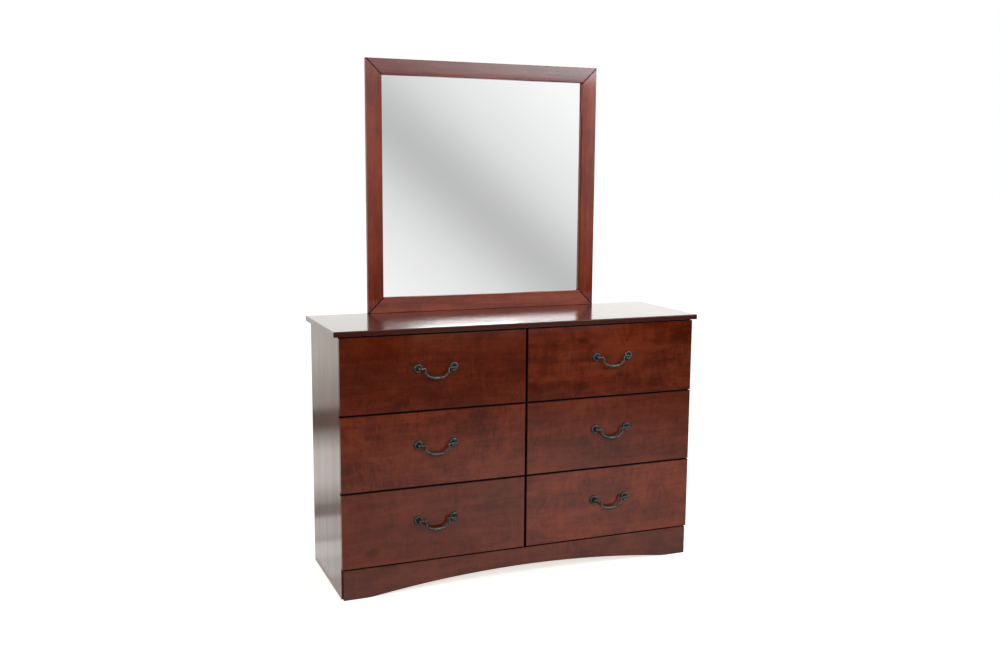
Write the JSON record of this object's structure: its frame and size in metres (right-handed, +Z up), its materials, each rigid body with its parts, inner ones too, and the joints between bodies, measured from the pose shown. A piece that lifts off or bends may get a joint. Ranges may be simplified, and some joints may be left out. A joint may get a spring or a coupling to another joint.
{
  "type": "dresser",
  "caption": "Low double dresser with two columns of overlay drawers on wooden runners, swinging bail pulls, an arched apron and a framed mirror standing on its top.",
  "frame": {"origin": "on the floor, in the middle of the footprint that runs from the bails' front to the back of the mirror's battens, and midway between the sides", "axes": "+X to the right of someone facing the drawers, +Y from the drawers to the back, +Z up"},
  "size_m": [1.22, 0.4199, 1.633],
  "materials": {
    "top_wood": "dark cherry stain under glossy lacquer",
    "case_wood": "dark cherry stain under semi-gloss lacquer",
    "drawer_front_wood": "dark cherry stain under semi-gloss lacquer, grain across",
    "mirror_frame_wood": "cherry stain under semi-gloss lacquer, mitred",
    "inner_wood": "plain sealed softwood",
    "runner_wood": "waxed hardwood",
    "thin_board": "plain brown hardboard",
    "pull_metal": "blackened antique finish, rubbed on the high spots",
    "screw_steel": "zinc plated",
    "mirror_glass": "silvered float glass"
  },
  "bodies": {
    "root": {"top_panel": "top_wood", "left_side_panel": "case_wood", "right_side_panel": "case_wood", "apron": "case_wood", "centre_partition": "inner_wood", "floor_board": "inner_wood", "front_stretcher": "inner_wood", "rear_top_rail": "inner_wood", "rear_base_rail": "inner_wood", "back_panel": "thin_board", "glue_blocks": "inner_wood", "case_dowels": "runner_wood", "left_bay_runners": "runner_wood", "right_bay_runners": "runner_wood", "runner_screws": "screw_steel", "mirror_bottom_rail": "mirror_frame_wood", "mirror_top_rail": "mirror_frame_wood", "mirror_left_stile": "mirror_frame_wood", "mirror_right_stile": "mirror_frame_wood", "mirror_glass": "mirror_glass", "mirror_backing": "thin_board", "mirror_left_support": "inner_wood", "mirror_right_support": "inner_wood", "support_screws": "screw_steel"},
    "bottom_left_drawer": {"bottom_left_drawer_front": "drawer_front_wood", "bottom_left_drawer_sides": "inner_wood", "bottom_left_drawer_back": "inner_wood", "bottom_left_drawer_floor": "thin_board", "bottom_left_pull_posts": "pull_metal"},
    "bottom_left_pull_bail": {"bottom_left_pull_bail": "pull_metal"},
    "bottom_right_drawer": {"bottom_right_drawer_front": "drawer_front_wood", "bottom_right_drawer_sides": "inner_wood", "bottom_right_drawer_back": "inner_wood", "bottom_right_drawer_floor": "thin_board", "bottom_right_pull_posts": "pull_metal"},
    "bottom_right_pull_bail": {"bottom_right_pull_bail": "pull_metal"},
    "middle_left_drawer": {"middle_left_drawer_front": "drawer_front_wood", "middle_left_drawer_sides": "inner_wood", "middle_left_drawer_back": "inner_wood", "middle_left_drawer_floor": "thin_board", "middle_left_pull_posts": "pull_metal"},
    "middle_left_pull_bail": {"middle_left_pull_bail": "pull_metal"},
    "middle_right_drawer": {"middle_right_drawer_front": "drawer_front_wood", "middle_right_drawer_sides": "inner_wood", "middle_right_drawer_back": "inner_wood", "middle_right_drawer_floor": "thin_board", "middle_right_pull_posts": "pull_metal"},
    "middle_right_pull_bail": {"middle_right_pull_bail": "pull_metal"},
    "top_left_drawer": {"top_left_drawer_front": "drawer_front_wood", "top_left_drawer_sides": "inner_wood", "top_left_drawer_back": "inner_wood", "top_left_drawer_floor": "thin_board", "top_left_pull_posts": "pull_metal"},
    "top_left_pull_bail": {"top_left_pull_bail": "pull_metal"},
    "top_right_drawer": {"top_right_drawer_front": "drawer_front_wood", "top_right_drawer_sides": "inner_wood", "top_right_drawer_back": "inner_wood", "top_right_drawer_floor": "thin_board", "top_right_pull_posts": "pull_metal"},
    "top_right_pull_bail": {"top_right_pull_bail": "pull_metal"}
  },
  "joints": [
    {"name": "bottom_left_drawer_slide", "type": "slide", "parent": "root", "child": "bottom_left_drawer", "axis": [0, -1, 0], "range_m": [0, 0.27]},
    {"name": "bottom_left_pull_swing", "type": "hinge", "parent": "bottom_left_drawer", "child": "bottom_left_pull_bail", "pos_m": [-0.29825, -0.2039, 0.22475], "axis": [-1, 0, 0], "range_deg": [-10, 190]},
    {"name": "bottom_right_drawer_slide", "type": "slide", "parent": "root", "child": "bottom_right_drawer", "axis": [0, -1, 0], "range_m": [0, 0.27]},
    {"name": "bottom_right_pull_swing", "type": "hinge", "parent": "bottom_right_drawer", "child": "bottom_right_pull_bail", "pos_m": [0.29825, -0.2039, 0.22475], "axis": [-1, 0, 0], "range_deg": [-10, 190]},
    {"name": "middle_left_drawer_slide", "type": "slide", "parent": "root", "child": "middle_left_drawer", "axis": [0, -1, 0], "range_m": [0, 0.27]},
    {"name": "middle_left_pull_swing", "type": "hinge", "parent": "middle_left_drawer", "child": "middle_left_pull_bail", "pos_m": [-0.29825, -0.2039, 0.46025], "axis": [-1, 0, 0], "range_deg": [-10, 190]},
    {"name": "middle_right_drawer_slide", "type": "slide", "parent": "root", "child": "middle_right_drawer", "axis": [0, -1, 0], "range_m": [0, 0.27]},
    {"name": "middle_right_pull_swing", "type": "hinge", "parent": "middle_right_drawer", "child": "middle_right_pull_bail", "pos_m": [0.29825, -0.2039, 0.46025], "axis": [-1, 0, 0], "range_deg": [-10, 190]},
    {"name": "top_left_drawer_slide", "type": "slide", "parent": "root", "child": "top_left_drawer", "axis": [0, -1, 0], "range_m": [0, 0.27]},
    {"name": "top_left_pull_swing", "type": "hinge", "parent": "top_left_drawer", "child": "top_left_pull_bail", "pos_m": [-0.29825, -0.2039, 0.69575], "axis": [-1, 0, 0], "range_deg": [-10, 190]},
    {"name": "top_right_drawer_slide", "type": "slide", "parent": "root", "child": "top_right_drawer", "axis": [0, -1, 0], "range_m": [0, 0.27]},
    {"name": "top_right_pull_swing", "type": "hinge", "parent": "top_right_drawer", "child": "top_right_pull_bail", "pos_m": [0.29825, -0.2039, 0.69575], "axis": [-1, 0, 0], "range_deg": [-10, 190]}
  ]
}
